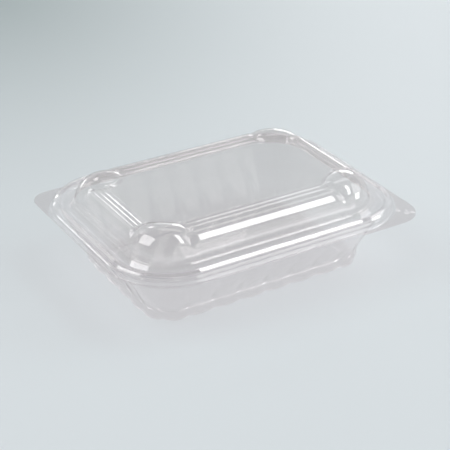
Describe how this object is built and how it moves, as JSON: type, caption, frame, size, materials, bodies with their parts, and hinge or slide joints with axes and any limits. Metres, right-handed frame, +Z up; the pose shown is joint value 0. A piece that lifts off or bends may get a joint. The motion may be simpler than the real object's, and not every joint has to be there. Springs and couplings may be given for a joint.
{
  "type": "side dish container",
  "caption": "Clear rectangular food tray with fluted walls and a domed press-on lid with raised corner lobes and pull tabs.",
  "frame": {"origin": "middle of the tray's foot, on the surface it stands on", "axes": "+X along the long side, +Y across it, +Z up"},
  "size_m": [0.1662, 0.1272, 0.048],
  "materials": {
    "tray_plastic": "clear, glossy formed sheet",
    "lid_plastic": "clear, glossy formed sheet"
  },
  "bodies": {
    "tray": {"tray": "tray_plastic"},
    "lid": {"lid": "lid_plastic"}
  },
  "joints": [
    {"name": "lid_lift", "type": "slide", "parent": "tray", "child": "lid", "axis": [0, 0, 1], "range_m": [0, 0.05]}
  ]
}
